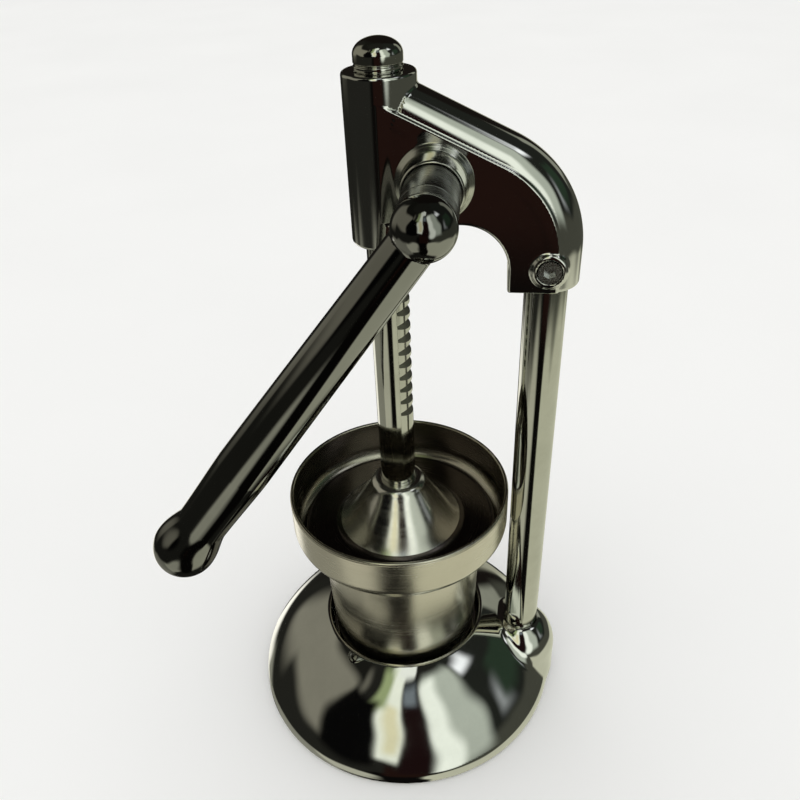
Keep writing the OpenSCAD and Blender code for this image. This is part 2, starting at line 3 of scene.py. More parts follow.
import bmesh
import bpy
import numpy as np
from mathutils import Euler, Matrix, Quaternion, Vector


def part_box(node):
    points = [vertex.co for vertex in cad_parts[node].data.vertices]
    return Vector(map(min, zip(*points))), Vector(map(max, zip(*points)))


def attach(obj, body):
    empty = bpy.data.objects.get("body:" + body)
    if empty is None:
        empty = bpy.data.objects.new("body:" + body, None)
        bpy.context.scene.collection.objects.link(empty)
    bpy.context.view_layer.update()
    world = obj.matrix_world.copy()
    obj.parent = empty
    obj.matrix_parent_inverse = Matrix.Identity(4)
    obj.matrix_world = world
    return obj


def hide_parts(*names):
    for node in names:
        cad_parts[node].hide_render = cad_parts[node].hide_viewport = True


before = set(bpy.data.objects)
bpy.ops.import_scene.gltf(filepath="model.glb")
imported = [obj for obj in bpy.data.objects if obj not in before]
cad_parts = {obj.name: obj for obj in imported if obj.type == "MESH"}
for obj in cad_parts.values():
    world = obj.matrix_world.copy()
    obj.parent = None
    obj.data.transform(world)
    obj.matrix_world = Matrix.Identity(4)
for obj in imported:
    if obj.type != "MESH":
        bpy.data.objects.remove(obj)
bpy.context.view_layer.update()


# ---- Base ----
# The foot is a hollow zinc die casting: a round dome with a seat for the cup and a boss for the column.
# It is polished and chrome plated, so every edge is rounded and every joint of two shapes has a fillet.
# Each casting is built from fields: formulas that give a point's distance to the surface, in millimetres.

def low_high(node):
    """Lowest and highest corner of a CAD node, in millimetres."""
    low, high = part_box(node)
    return np.array(low) * 1000, np.array(high) * 1000


def meet(a, b, rounding):
    """The common part of two fields, with its edge rounded."""
    corner = np.hypot(np.maximum(a + rounding, 0), np.maximum(b + rounding, 0))
    return np.minimum(-rounding, np.maximum(a, b)) + corner


def join(a, b, fillet):
    """Two fields as one, with a fillet where they meet."""
    return -meet(-a, -b, fillet)


def cut(body, hole, rounding):
    """The body's field without the hole's, with its mouth rounded."""
    return meet(body, -hole, rounding)


def finished_mesh(piece):
    """The piece's mesh with its modifiers applied, in place of its own."""
    depsgraph = bpy.context.evaluated_depsgraph_get()
    mesh = bpy.data.meshes.new_from_object(piece.evaluated_get(depsgraph))
    piece.modifiers.clear()
    piece.data = mesh
    return mesh


def place(name, mesh):
    """A new object of that mesh, at the origin."""
    piece = bpy.data.objects.new(name, mesh)
    bpy.context.scene.collection.objects.link(piece)
    return piece


def slope_of(field, points):
    """The field's gradient at each point."""
    step = 0.02
    columns = []
    for axis in np.eye(3) * step:
        columns.append((field(points + axis) - field(points - axis)) / (2 * step))
    return np.stack(columns, axis=1)


def cast(name, node, field, voxel):
    """A smooth skin for a casting. An even mesh of the CAD solid is drawn onto the field's surface."""
    piece = place(name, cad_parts[node].data.copy())
    merged = bmesh.new()
    merged.from_mesh(piece.data)
    bmesh.ops.remove_doubles(merged, verts=merged.verts, dist=1e-6)
    merged.to_mesh(piece.data)
    merged.free()
    piece.data.materials.clear()
    remesh = piece.modifiers.new("Remesh", "REMESH")
    remesh.mode = "VOXEL"
    remesh.voxel_size = voxel / 1000
    mesh = finished_mesh(piece)
    points = np.empty(len(mesh.vertices) * 3)
    mesh.vertices.foreach_get("co", points)
    points = points.reshape(-1, 3) * 1000
    edges = np.empty(len(mesh.edges) * 2, int)
    mesh.edges.foreach_get("vertices", edges)
    edges = edges.reshape(-1, 2)
    ends = np.concatenate([edges, edges[:, ::-1]])
    neighbours = np.bincount(ends[:, 0], minlength=len(points))[:, None]
    for relaxing in (0.5, 0.5, 0.5, 0, 0, 0):
        if relaxing:
            total = [np.bincount(ends[:, 0], points[ends[:, 1], k], len(points)) for k in range(3)]
            points += relaxing * (np.stack(total, axis=1) / neighbours - points)
        slope = slope_of(field, points)
        steep = np.maximum((slope ** 2).sum(axis=1), 0.2)
        move = slope * (field(points) / steep)[:, None]
        points -= np.clip(move, -voxel, voxel)
    normals = slope_of(field, points)
    normals /= np.linalg.norm(normals, axis=1)[:, None]
    mesh.vertices.foreach_set("co", (points / 1000).ravel())
    mesh.update()
    mesh.shade_smooth()
    mesh.normals_split_custom_set_from_vertices(normals.tolist())
    return piece


def linear(code):
    """A colour's sRGB hex code as linear values."""
    parts = [int(code[i:i + 2], 16) / 255 for i in (1, 3, 5)]
    return [c / 12.92 if c <= 0.04045 else ((c + 0.055) / 1.055) ** 2.4 for c in parts] + [1]


def add(tree, kind, links=None, **settings):
    """Adds a node. Settings are its own values, and links gives each input a socket or a number."""
    node = tree.nodes.new(kind)
    for key, value in settings.items():
        setattr(node, key, value)
    for key, value in (links or {}).items():
        if isinstance(value, bpy.types.NodeSocket):
            tree.links.new(value, node.inputs[key])
        else:
            node.inputs[key].default_value = value
    return node


def new_material(name):
    """An empty material and its node tree."""
    material = bpy.data.materials.new(name)
    material.use_nodes = True
    material.node_tree.nodes.clear()
    return material, material.node_tree


def blend_colours(tree, share, low, high):
    """A colour between two hex codes."""
    mix = add(tree, "ShaderNodeMix", {"Factor": share}, data_type="RGBA")
    mix.inputs[6].default_value = linear(low)
    mix.inputs[7].default_value = linear(high)
    return mix.outputs[2]


def dress(piece, material):
    """Gives the whole piece one material."""
    piece.data.materials.clear()
    piece.data.materials.append(material)


def stand_for(piece, material, body, slot, *nodes):
    """The piece takes its material, rides on its body and is shown in place of the CAD nodes."""
    dress(piece, material)
    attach(piece, body)
    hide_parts(*nodes)


def finish_metal(tree, tint, rough, bump, anisotropy=0.0):
    """Ends a material's tree in a metal of that colour, roughness and bump."""
    shader = add(tree, "ShaderNodeBsdfPrincipled",
                 {"Base Color": tint, "Metallic": 1.0, "Roughness": rough.outputs["Result"],
                  "Anisotropic": anisotropy, "Normal": bump.outputs["Normal"]})
    add(tree, "ShaderNodeOutputMaterial", {"Surface": shader.outputs[0]})


def polished_chrome(name, wave, smudge, dark="#bdbdb7", light="#dcdcd6"):
    """Chrome plating on a polished casting: near black and white reflections, faintly wavy."""
    material, tree = new_material(name)
    spot = add(tree, "ShaderNodeTexCoord").outputs["Object"]
    # the polishing belt leaves waves about 20 mm long
    waves = add(tree, "ShaderNodeTexNoise", {"Vector": spot, "Scale": 50, "Detail": 0})
    # hand marks and haze, about 35 mm across
    haze = add(tree, "ShaderNodeTexNoise", {"Vector": spot, "Scale": 28, "Detail": 6, "Roughness": 0.62})
    # fine pits of the casting under the plating, about 1 mm apart
    pits = add(tree, "ShaderNodeTexNoise", {"Vector": spot, "Scale": 900, "Detail": 2})
    rough = add(tree, "ShaderNodeMapRange",
                {"Value": haze.outputs["Fac"], "From Min": 0.42, "From Max": 0.72,
                 "To Min": 0.03, "To Max": smudge})
    tint = blend_colours(tree, haze.outputs["Fac"], light, dark)
    broad = add(tree, "ShaderNodeBump",
                {"Height": waves.outputs["Fac"], "Strength": wave, "Distance": 0.001})
    fine = add(tree, "ShaderNodeBump",
               {"Height": pits.outputs["Fac"], "Strength": 0.02, "Distance": 0.0001,
                "Normal": broad.outputs["Normal"]})
    finish_metal(tree, tint, rough, fine)
    return material


cast_chrome = polished_chrome("chrome_plated_die_casting", 0.06, 0.1)

base_low = low_high("base_shell")[0]
column_low, column_high = low_high("column_tube")
cup_low, cup_high = low_high("juice_cup")
base_r = -base_low[1]
column_y = (column_low[1] + column_high[1]) / 2
column_r = (column_high[0] - column_low[0]) / 2
# gap left under a part that rests on another, and between a part and the hole it is fixed in
rest_gap = 0.3
seat_fit = 0.05
seat_z = cup_low[2] - rest_gap
seat_r = 45.0
lip_round = 3.0
lip_z = 47.5
foot_z = base_low[2]
band_z = foot_z + 5
wall = 4.0
boss_top_r, boss_top_z = 13.5, 43.0
boss_top_round = 2.5
boss_foot_r, boss_shoulder_z = 21.5, 21.5
boss_fillet = 4.0
# the column stands on a ledge inside the boss, and its bolt comes through the ledge from below
column_foot_z = 20.0
ledge_z = 13.9
bolt_hole_r = 4.3
bolt_room_r = 17.5


def arc_through(a, b, rise):
    """Centre and radius of the arc from a to b whose middle stands rise to the left of the chord."""
    a = np.array(a, float)
    b = np.array(b, float)
    chord = np.linalg.norm(b - a)
    radius = (chord ** 2 / 4 + rise ** 2) / (2 * rise)
    left = np.array([a[1] - b[1], b[0] - a[0]]) / chord
    return (a + b) / 2 - left * (radius - rise), radius


dome_centre, dome_radius = arc_through((seat_r + lip_round, lip_z), (base_r, band_z), 4.5)
boss_centre, boss_radius = arc_through((boss_top_r, boss_top_z - 3.5), (boss_foot_r, boss_shoulder_z), 2)


def base_field(p):
    """Distance to the base's surface."""
    x, y, z = p.T
    r = np.hypot(x, y)
    around = np.hypot(x, y - column_y)
    seat = meet(r - seat_r, seat_z - z, 1.5)
    dome = meet(np.hypot(r - dome_centre[0], z - dome_centre[1]) - dome_radius, r - base_r, 1.2)
    dome = cut(dome, seat, lip_round)
    shell = np.maximum(dome, -(dome + wall))
    flank = np.hypot(around - boss_centre[0], np.maximum(z - boss_centre[1], 0)) - boss_radius
    boss = meet(flank, z - boss_top_z, boss_top_round)
    body = cut(join(shell, boss, boss_fillet), seat, 1)
    column_hole = np.maximum(around - column_r - seat_fit, column_foot_z - z)
    bolt_hole = around - bolt_hole_r
    bolt_room = np.maximum(np.maximum(around - bolt_room_r, r - base_r + wall), z - ledge_z)
    for hole in (column_hole, bolt_hole, bolt_room):
        body = cut(body, hole, 0.5)
    return meet(body, foot_z - z, 0.5)


base = cast("base_casting", "base_shell", base_field, 1.05)
stand_for(base, cast_chrome, "frame", "chrome_casting", "base_shell")


# ---- Rubber pad ----
# A moulded black rubber disc closes the casting and keeps the press from sliding.
# Its underside has rings and a rounded edge from the mould.

def eased(line, ease):
    """The closed line with its corners rounded off. Points on the axis stay."""
    line = [np.array(p, float) for p in line]
    points = []
    for i, corner in enumerate(line):
        back = line[i - 1] - corner
        on = line[(i + 1) % len(line)] - corner
        back_l = np.linalg.norm(back)
        on_l = np.linalg.norm(on)
        turn = math.degrees(math.acos(np.clip(-(back @ on) / (back_l * on_l), -1, 1)))
        if corner[0] < 1e-6 or turn < 15:
            points.append(corner)
            continue
        a = corner + back / back_l * min(ease, 0.45 * back_l)
        b = corner + on / on_l * min(ease, 0.45 * on_l)
        for t in (0, 0.25, 0.5, 0.75, 1):
            points.append((1 - t) ** 2 * a + 2 * t * (1 - t) * corner + t ** 2 * b)
    return points


def turned(name, line, at=Matrix.Identity(4), ease=0.3, segments=160):
    """A turned piece. The line is closed, in millimetres from the axis and along it."""
    line = eased(line, ease)
    build = bmesh.new()
    rings = []
    for radius, height in line:
        if radius < 1e-6:
            rings.append([build.verts.new((0, 0, height / 1000))] * segments)
            continue
        ring = []
        for k in range(segments):
            angle = 2 * math.pi * k / segments
            ring.append(build.verts.new((radius * math.cos(angle) / 1000, radius * math.sin(angle) / 1000,
                                         height / 1000)))
        rings.append(ring)
    for i, ring in enumerate(rings):
        after = rings[(i + 1) % len(rings)]
        for k in range(segments):
            n = (k + 1) % segments
            corners = []
            for vert in (ring[k], ring[n], after[n], after[k]):
                if vert not in corners:
                    corners.append(vert)
            if len(corners) > 2:
                build.faces.new(corners)
    bmesh.ops.recalc_face_normals(build, faces=build.faces)
    mesh = bpy.data.meshes.new(name)
    build.to_mesh(mesh)
    build.free()
    mesh.transform(at)
    mesh.shade_smooth()
    mesh.set_sharp_from_angle(angle=math.radians(32))
    return place(name, mesh)


def moulded_rubber():
    """Moulded black rubber: a dull black with a fine mould grain and pale dust in it."""
    material, tree = new_material("moulded_black_rubber")
    spot = add(tree, "ShaderNodeTexCoord").outputs["Object"]
    grain = add(tree, "ShaderNodeTexNoise", {"Vector": spot, "Scale": 1400, "Detail": 3})
    dust = add(tree, "ShaderNodeTexNoise", {"Vector": spot, "Scale": 45, "Detail": 7, "Roughness": 0.7})
    tint = blend_colours(tree, dust.outputs["Fac"], "#131312", "#34332f")
    bump = add(tree, "ShaderNodeBump",
               {"Height": grain.outputs["Fac"], "Strength": 0.5, "Distance": 0.0002})
    rough = add(tree, "ShaderNodeMapRange",
                {"Value": dust.outputs["Fac"], "To Min": 0.62, "To Max": 0.86})
    shader = add(tree, "ShaderNodeBsdfPrincipled",
                 {"Base Color": tint, "Roughness": rough.outputs["Result"], "Normal": bump.outputs["Normal"]})
    add(tree, "ShaderNodeOutputMaterial", {"Surface": shader.outputs[0]})
    return material


pad_high = low_high("base_pad")[1]
pad_r = pad_high[0]
groove_depth = 0.7
pad_line = [(0, pad_high[2]), (pad_r, pad_high[2]), (pad_r, 0)]
for groove_r in range(78, 17, -12):
    pad_line += [(groove_r + 2, 0), (groove_r + 1.2, groove_depth)]
    pad_line += [(groove_r - 1.2, groove_depth), (groove_r - 2, 0)]
pad_line.append((0, 0))
pad = turned("rubber_pad", pad_line)
stand_for(pad, moulded_rubber(), "frame", "rubber", "base_pad")


# ---- Column ----
# A chrome plated steel tube stands in the boss. A bolt from below, with two washers and a plug, holds it.
# Drawn tube is very even, with faint long marks from the plating bath.

def drawn_chrome(name, axis_scale, haze_high):
    """Chrome on drawn or ground steel: a clean mirror with faint streaks along the axis."""
    material, tree = new_material(name)
    spot = add(tree, "ShaderNodeTexCoord").outputs["Object"]
    # streaks about 2 mm wide and 60 mm long
    stretch = add(tree, "ShaderNodeMapping", {"Vector": spot, "Scale": axis_scale})
    streaks = add(tree, "ShaderNodeTexNoise",
                  {"Vector": stretch.outputs["Vector"], "Scale": 1, "Detail": 4, "Roughness": 0.55})
    haze = add(tree, "ShaderNodeTexNoise", {"Vector": spot, "Scale": 40, "Detail": 6, "Roughness": 0.65})
    both = add(tree, "ShaderNodeMath", {0: streaks.outputs["Fac"], 1: haze.outputs["Fac"]},
               operation="MULTIPLY")
    rough = add(tree, "ShaderNodeMapRange",
                {"Value": both.outputs[0], "From Min": 0.12, "From Max": 0.45, "To Min": 0.04,
                 "To Max": haze_high})
    tint = blend_colours(tree, haze.outputs["Fac"], "#cfcfc6", "#b2b2a8")
    bump = add(tree, "ShaderNodeBump",
               {"Height": streaks.outputs["Fac"], "Strength": 0.05, "Distance": 0.0003})
    finish_metal(tree, tint, rough, bump)
    return material


def machined_steel(name, dark, light, roughness, lines):
    """Plain machined steel: fine parallel tool marks, and oil that darkens it in patches."""
    material, tree = new_material(name)
    spot = add(tree, "ShaderNodeTexCoord").outputs["Object"]
    stretch = add(tree, "ShaderNodeMapping", {"Vector": spot, "Scale": lines})
    marks = add(tree, "ShaderNodeTexNoise",
                {"Vector": stretch.outputs["Vector"], "Scale": 1, "Detail": 5, "Roughness": 0.7})
    patches = add(tree, "ShaderNodeTexNoise", {"Vector": spot, "Scale": 120, "Detail": 5})
    tint = blend_colours(tree, patches.outputs["Fac"], dark, light)
    rough = add(tree, "ShaderNodeMapRange",
                {"Value": marks.outputs["Fac"], "To Min": roughness - 0.12, "To Max": roughness + 0.12})
    bump = add(tree, "ShaderNodeBump",
               {"Height": marks.outputs["Fac"], "Strength": 0.25, "Distance": 0.0002})
    finish_metal(tree, tint, rough, bump)
    return material


tube_chrome = drawn_chrome("chrome_plated_drawn_tube", (500, 500, 16), 0.14)
turned_steel = machined_steel("turned_steel", "#5d5d5a", "#8d8d88", 0.38, (300, 300, 1500))
zinc = machined_steel("zinc_plated_steel", "#b4b7ba", "#dcddd9", 0.26, (400, 400, 400))


def on_axis(y):
    """Where a piece turned about the press or column axis stands."""
    return Matrix.Translation((0, y / 1000, 0))


tube_wall = 1.5
bore_r = column_r - tube_wall
tube_line = [(bore_r, column_low[2]), (column_r, column_low[2]),
             (column_r, column_high[2]), (bore_r, column_high[2])]
column = turned("column", tube_line, on_axis(column_y))
stand_for(column, tube_chrome, "frame", "chrome_tube", "column_tube")
for hidden in ("column_bolt", "column_washer", "column_lock_washer"):
    dress(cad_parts[hidden], zinc)
dress(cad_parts["column_plug"], turned_steel)


# ---- Head ----
# One die casting carries the rod guide, the ridge that bends over to the column, the web between them
# and the clamp round the column's top. The pinion turns in a chamber inside it, open below.

guide_l = 70.2
guide_top_z = float(low_high("rod_cap")[0][2] - rest_gap)
guide_z = guide_top_z - guide_l
guide_r = 15.1
rod_r = 9.25
# gap round a part that slides or turns in its hole
run_fit = 0.06
shaft_low, shaft_high = low_high("lever_shaft")
shaft_y = (shaft_low[1] + shaft_high[1]) / 2
shaft_z = (shaft_low[2] + shaft_high[2]) / 2
clamp_z = float(low_high("head_casting")[0][2])
ridge_r = 14.2
# the ridge's centre line leaves the rod's axis at this height
ridge_z = guide_z + 56.5
ridge_slope = math.radians(26)
ridge_start = 8.0
bend_r = 39.3
bend_y = column_y - bend_r
bend_z = ridge_z - bend_y * math.tan(ridge_slope) - bend_r / math.cos(ridge_slope)
web_half = 14.75
# the web reaches a little above the ridge's centre line
web_over_ridge = 4.0
arch_r = 20.0
arch_y = column_y - 17.5 - arch_r
web_z = guide_z + 12
chamber_r = 19.0
chamber_half = 8.2
sleeve_r = 11.0
screw_z = clamp_z + 10.7
screw_r = 3.0
screw_boss_r = 7.7
screw_seat_r = 5.3
screw_head_h = 3.6
clamp_face_x = web_half + 1.6


def box_field(p, low, high):
    """Distance to a box."""
    middle = (np.array(low) + np.array(high)) / 2
    half = (np.array(high) - np.array(low)) / 2
    return (np.abs(p - middle) - half).max(axis=1)


def head_field(p):
    """Distance to the head's surface."""
    x, y, z = p.T
    from_middle = np.abs(z - (guide_z + guide_top_z) / 2)
    guide = meet(np.hypot(x, y) - guide_r, from_middle - guide_l / 2, 1.3)
    # distance outside the ridge's centre line: a straight slope, a bend and a straight drop
    turn = np.arctan2(z - bend_z, y - bend_y)
    straight = y * math.sin(ridge_slope) + (z - ridge_z) * math.cos(ridge_slope)
    bend = np.hypot(y - bend_y, z - bend_z) - bend_r
    off = np.where(turn > math.pi / 2 - ridge_slope, straight, np.where(turn > 0, bend, y - column_y))
    along = y * math.cos(ridge_slope) - (z - ridge_z) * math.sin(ridge_slope)
    ridge = np.maximum(np.hypot(x, off) - ridge_r, ridge_start - along)
    ridge = meet(ridge, clamp_z - z, 1.2)
    # the arch under the web is a corner of radius arch_r
    in_y = y - arch_y
    in_z = z - (web_z - arch_r)
    arch = np.hypot(np.maximum(in_y, 0), np.maximum(in_z, 0)) - arch_r
    arch += np.minimum(np.maximum(in_y, in_z), 0)
    web = np.maximum(np.maximum(off - web_over_ridge, -y), clamp_z - z)
    web = meet(web, np.abs(x) - web_half, 0.8)
    web = cut(web, arch, 1.2)
    round_screw = np.hypot(y - column_y, z - screw_z)
    boss = meet(round_screw - screw_boss_r, x - clamp_face_x, 1.3)
    boss = np.maximum(boss, -x)
    body = join(join(guide, web, 0.8), ridge, 0.9)
    body = join(body, boss, 1.2)
    round_shaft = np.hypot(y - shaft_y, z - shaft_z)
    chamber = np.maximum(round_shaft - chamber_r, np.abs(x) - chamber_half)
    mouth = box_field(p, (-chamber_half, rod_r - 2, web_z - 1),
                      (chamber_half, shaft_y + chamber_r, shaft_z))
    run_in = box_field(p, (-chamber_half, arch_y, web_z - 10),
                       (chamber_half, shaft_y + chamber_r, web_z + 10))
    socket = np.maximum(np.hypot(x, y - column_y) - column_r - seat_fit, z - column_high[2])
    screw_hole = np.maximum(round_screw - screw_r, -x)
    screw_seat = np.maximum(round_screw - screw_seat_r, clamp_face_x - screw_head_h - x)
    holes = (np.hypot(x, y) - rod_r - run_fit, chamber, mouth, run_in,
             round_shaft - sleeve_r - seat_fit, socket, screw_hole, screw_seat)
    for hole in holes:
        body = cut(body, hole, 0.4)
    return body


head = cast("head", "head_casting", head_field, 0.75)
stand_for(head, cast_chrome, "frame", "chrome_casting", "head_casting")
dress(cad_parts["clamp_screw"], zinc)


# ---- Bushes ----
# Turned and plated bushes carry the lever shaft, one on each side of the web: a low flange, then a
# cone. Their outer ends are dished, and the turning tool has left rings on them.

def on_shaft(x, towards=1):
    """Where a piece turned about the lever shaft stands, its own height along +X or -X."""
    turn = Matrix.Rotation(math.radians(90 * towards), 4, "Y")
    return Matrix.Translation((x / 1000, shaft_y / 1000, shaft_z / 1000)) @ turn


def turned_chrome():
    """Chrome over a turned face: a mirror broken by fine rings about the shaft's axis."""
    material, tree = new_material("chrome_plated_turned_steel")
    spot = add(tree, "ShaderNodeTexCoord").outputs["Object"]
    centred = add(tree, "ShaderNodeVectorMath", {0: spot, 1: (0, shaft_y / 1000, shaft_z / 1000)},
                  operation="SUBTRACT")
    flat = add(tree, "ShaderNodeVectorMath", {0: centred.outputs[0], 1: (0, 1, 1)}, operation="MULTIPLY")
    radius = add(tree, "ShaderNodeVectorMath", {0: flat.outputs[0]}, operation="LENGTH")
    # rings about 0.6 mm apart, drawn coarser than the real 0.1 mm of feed so that they show
    rings = add(tree, "ShaderNodeTexNoise",
                {"W": radius.outputs["Value"], "Scale": 1600, "Detail": 3, "Roughness": 0.7},
                noise_dimensions="1D")
    rough = add(tree, "ShaderNodeMapRange",
                {"Value": rings.outputs["Fac"], "To Min": 0.05, "To Max": 0.25})
    tint = blend_colours(tree, rings.outputs["Fac"], "#bdbdb4", "#d4d4cb")
    bump = add(tree, "ShaderNodeBump",
               {"Height": rings.outputs["Fac"], "Strength": 0.3, "Distance": 0.0002})
    finish_metal(tree, tint, rough, bump)
    return material


shaft_r = 8.0
hub_r = 11.65
flange_r = 16.2
end_r = hub_r + 1.25
dish_r = hub_r + rest_gap
dish = 0.8


def bush_line(length):
    """A bush from its sleeve in the web to its dished outer end: a low flange, then a long cone."""
    bore_r = shaft_r + run_fit
    sleeve_l = web_half - chamber_half
    return [(bore_r, -sleeve_l), (sleeve_r, -sleeve_l), (sleeve_r, 0), (flange_r, 0), (flange_r, 0.8),
            (flange_r - 1, 1.8), (13.6 + 0.02 * length, 3.2), (end_r, length - 0.7),
            (end_r - 0.5, length), (dish_r, length), (dish_r, length - dish), (bore_r, length - dish)]


ring_chrome = turned_chrome()
bushes = ((1, "near_shaft_bush", "near_bush", 12), (-1, "far_shaft_bush", "far_bush", 4))
for side, name, node, length in bushes:
    bush = turned(name, bush_line(length), on_shaft(side * web_half, side), 0.25)
    stand_for(bush, ring_chrome, "frame", "chrome_casting", node)


# ---- Rod and rack ----
# The rod is ground, chrome plated steel. Its rack teeth are milled straight across the back after
# plating, so their flanks are bare grey steel. The cutter row is a Geometry Nodes tree.

rod_low, rod_high = low_high("rack_rod")
rod_foot_z = rod_low[2]
cap_z = low_high("rod_cap")[0][2]
gear_m = 2.25
pitch = math.pi * gear_m
rack_tip_y = rod_r - 0.1
rack_pitch_y = rack_tip_y - gear_m
rack_root_y = rack_tip_y - 2.25 * gear_m
pressure_angle = math.radians(20)
backlash = 0.3
rack_gaps = 21
top_gap_z = shaft_z + 3 * pitch
spigot_r = 6.0
spigot_l = 9.0
thread_r = 4.0
thread_l = 16.0


def cutter_mesh():
    """One rack gap as a solid, at height nought. Its flanks lean by the pressure angle."""
    lean = math.tan(pressure_angle)
    half = pitch / 4 + backlash / 4
    root_half = half - 1.25 * gear_m * lean
    reach = gear_m + 2
    mouth_half = half + reach * lean
    section = [(rack_root_y, -root_half), (rack_pitch_y + reach, -mouth_half),
               (rack_pitch_y + reach, mouth_half), (rack_root_y, root_half)]
    build = bmesh.new()
    near, far = [[build.verts.new((x / 1000, y / 1000, z / 1000)) for y, z in section]
                 for x in (-rod_r - 1, rod_r + 1)]
    build.faces.new(near)
    build.faces.new(far)
    for k in range(4):
        n = (k + 1) % 4
        build.faces.new((near[k], near[n], far[n], far[k]))
    bmesh.ops.recalc_face_normals(build, faces=build.faces)
    mesh = bpy.data.meshes.new("rack_cutter")
    build.to_mesh(mesh)
    build.free()
    return mesh


def new_tree(name, inputs):
    """A Geometry Nodes tree with a geometry input and output and the named inputs."""
    tree = bpy.data.node_groups.new(name, "GeometryNodeTree")
    tree.interface.new_socket("Geometry", in_out="INPUT", socket_type="NodeSocketGeometry")
    tree.interface.new_socket("Geometry", in_out="OUTPUT", socket_type="NodeSocketGeometry")
    for label, kind in inputs.items():
        tree.interface.new_socket(label, in_out="INPUT", socket_type=kind)
    return tree, add(tree, "NodeGroupInput").outputs


def run_tree(piece, tree, values):
    """Runs the tree on the piece with those input values and keeps the result as its mesh."""
    modifier = piece.modifiers.new("Nodes", "NODES")
    modifier.node_group = tree
    for item in tree.interface.items_tree:
        if item.in_out == "INPUT" and item.name in values:
            modifier[item.identifier] = values[item.name]
    mesh = finished_mesh(piece)
    mesh.shade_smooth()
    mesh.set_sharp_from_angle(angle=math.radians(32))
    return mesh


milled_steel = machined_steel("milled_rack_steel", "#a5a69e", "#cfd0c7", 0.5, (1500, 300, 300))
ground_chrome = drawn_chrome("chrome_plated_ground_rod", (420, 420, 14), 0.12)

tree, given = new_tree("cut_row", {
    "Cutter": "NodeSocketObject", "Count": "NodeSocketInt", "Spacing": "NodeSocketFloat",
    "Top": "NodeSocketFloat", "Material": "NodeSocketMaterial"})
top_place = add(tree, "ShaderNodeCombineXYZ", {"Z": given["Top"]})
down = add(tree, "ShaderNodeMath", {0: given["Spacing"], 1: -1.0}, operation="MULTIPLY")
step = add(tree, "ShaderNodeCombineXYZ", {"Z": down.outputs[0]})
row = add(tree, "GeometryNodeMeshLine",
          {"Count": given["Count"], "Start Location": top_place.outputs[0], "Offset": step.outputs[0]})
cutter_info = add(tree, "GeometryNodeObjectInfo", {"Object": given["Cutter"]})
cutters = add(tree, "GeometryNodeInstanceOnPoints",
              {"Points": row.outputs[0], "Instance": cutter_info.outputs["Geometry"]})
solid_cutters = add(tree, "GeometryNodeRealizeInstances", {"Geometry": cutters.outputs[0]})
milled = add(tree, "GeometryNodeSetMaterial",
             {"Geometry": solid_cutters.outputs[0], "Material": given["Material"]})
cut_rod = add(tree, "GeometryNodeMeshBoolean", {"Mesh 1": given["Geometry"]}, operation="DIFFERENCE")
tree.links.new(milled.outputs[0], cut_rod.inputs["Mesh 2"])
add(tree, "NodeGroupOutput", {"Geometry": cut_rod.outputs[0]})

rod_line = [(0, rod_foot_z + thread_l), (thread_r, rod_foot_z + thread_l), (thread_r, rod_foot_z),
            (rod_r, rod_foot_z), (rod_r, cap_z), (spigot_r, cap_z), (spigot_r, rod_high[2]),
            (0, rod_high[2])]
rod = turned("rack_and_rod", rod_line, ease=0.3, segments=192)
dress(rod, ground_chrome)
cutter = place("rack_cutter", cutter_mesh())
run_tree(rod, tree, {"Cutter": cutter, "Count": rack_gaps, "Spacing": pitch / 1000,
                     "Top": top_gap_z / 1000, "Material": milled_steel})
bpy.data.objects.remove(cutter)
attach(rod, "rod")
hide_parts("rack_rod")


# ---- Cap and collar ----
# A domed, plated cap is pressed on the rod's upper spigot and stops it in the guide.
# A thin collar sits between the rod's foot and the presser.

cap_r = 9.95
cap_h = 5.5
cap_dome = 6.3
cap_bore_z = cap_z + spigot_l - 0.1
groove_r = cap_r - 0.5


def arc(centre, radius, start, end, steps):
    """Points of an arc, with its angles in degrees."""
    angles = [math.radians(start + (end - start) * k / steps) for k in range(steps + 1)]
    return [(centre[0] + radius * math.cos(a), centre[1] + radius * math.sin(a)) for a in angles]


cap_line = [(0, cap_bore_z), (spigot_r, cap_bore_z), (spigot_r, cap_z), (cap_r, cap_z),
            (cap_r, cap_z + 1.6), (groove_r, cap_z + 1.9), (groove_r, cap_z + 2.3), (cap_r, cap_z + 2.6)]
for degrees in range(0, 87, 3):
    angle = math.radians(degrees)
    cap_line.append((cap_r * math.cos(angle), cap_z + cap_h + cap_dome * math.sin(angle)))
cap_line.append((0, cap_z + cap_h + cap_dome))
cap = turned("rod_dome_cap", cap_line, ease=0.25)
stand_for(cap, ground_chrome, "rod", "chrome_rod", "rod_cap")

collar_low, collar_high = low_high("rod_collar")
collar_r = rod_r + 0.4
collar = turned("foot_collar", [(thread_r, collar_low[2]), (collar_r, collar_low[2]),
                                (collar_r, collar_high[2]), (thread_r, collar_high[2])])
stand_for(collar, ground_chrome, "rod", "chrome_rod", "rod_collar")


# ---- Presser ----
# The presser is spun from stainless sheet: a flat plate that rises to a bell in the middle.
# It is left with the soft shine of the spinning tool, in rings, and its edge is rolled.

